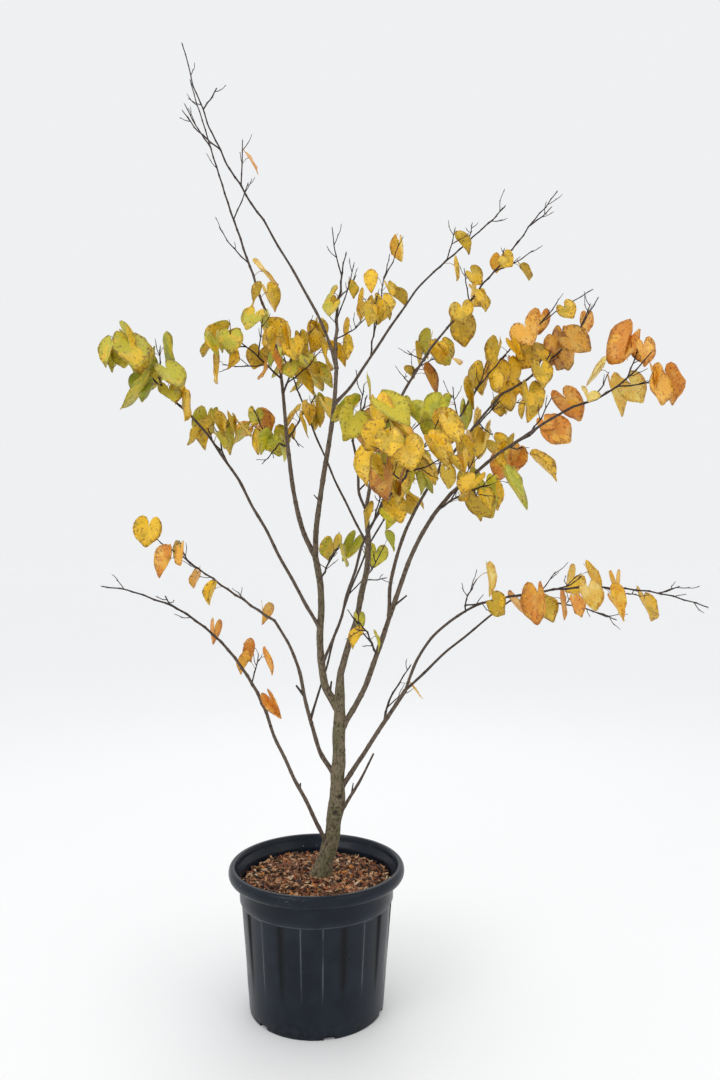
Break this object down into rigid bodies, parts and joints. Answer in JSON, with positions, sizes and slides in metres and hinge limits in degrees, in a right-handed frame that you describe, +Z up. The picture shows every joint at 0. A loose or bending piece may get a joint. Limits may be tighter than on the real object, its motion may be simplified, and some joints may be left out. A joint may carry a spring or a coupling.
{
  "type": "potted redbud tree",
  "caption": "Young redbud tree in autumn leaf, a forked trunk with open boughs and heart-shaped leaves, in a round fluted nursery pot.",
  "frame": {"origin": "centre of the pot's flat underside", "axes": "+Z up along the trunk; -Y towards the front, the side the picture was taken from; +X to the right in that view"},
  "size_m": [1.5389, 0.9798, 2.6503],
  "materials": {
    "pot": "satin black moulded plastic",
    "mix": "loose bark chips over potting mix",
    "bark": "rough grey-brown bark",
    "leaf": "matt autumn leaf, green to gold to rust"
  },
  "bodies": {
    "root": {"pot": "pot", "potting_mix": "mix", "trunk": "bark", "left_stem": "bark", "centre_stem": "bark", "right_stem": "bark", "low_left_bough": "bark", "second_left_bough": "bark", "low_right_bough": "bark", "dead_spur": "bark", "tall_leader": "bark", "left_leader": "bark", "left_high_bough": "bark", "front_bough": "bark", "tall_upper": "bark", "back_leader": "bark", "far_bough": "bark", "centre_bough": "bark", "back_shoot": "bark", "inner_shoot": "bark", "right_bough": "bark", "rising_bough": "bark", "low_right_upper": "bark", "low_right_lower": "bark", "low_left_spray": "leaf", "second_left_spray": "leaf", "left_high_spray": "leaf", "left_high_inner": "leaf", "leader_west": "leaf", "leader_low_west": "leaf", "leader_east": "leaf", "leader_top": "leaf", "leader_back": "leaf", "tall_top": "leaf", "crown_middle": "leaf", "crown_back": "leaf", "back_leader_tip": "leaf", "far_spray": "leaf", "far_inner": "leaf", "rising_tip": "leaf", "rising_inner": "leaf", "rising_back": "leaf", "right_tip": "leaf", "right_inner": "leaf", "right_low": "leaf", "front_spray": "leaf", "front_low": "leaf", "centre_front": "leaf", "centre_side": "leaf", "centre_right": "leaf", "back_spray": "leaf", "inner_spray": "leaf", "inner_low": "leaf", "olive_low": "leaf", "fork_twigs": "leaf", "low_right_tip": "leaf", "low_right_mid": "leaf", "low_right_back": "leaf", "low_right_shoot": "leaf"}
  },
  "joints": []
}
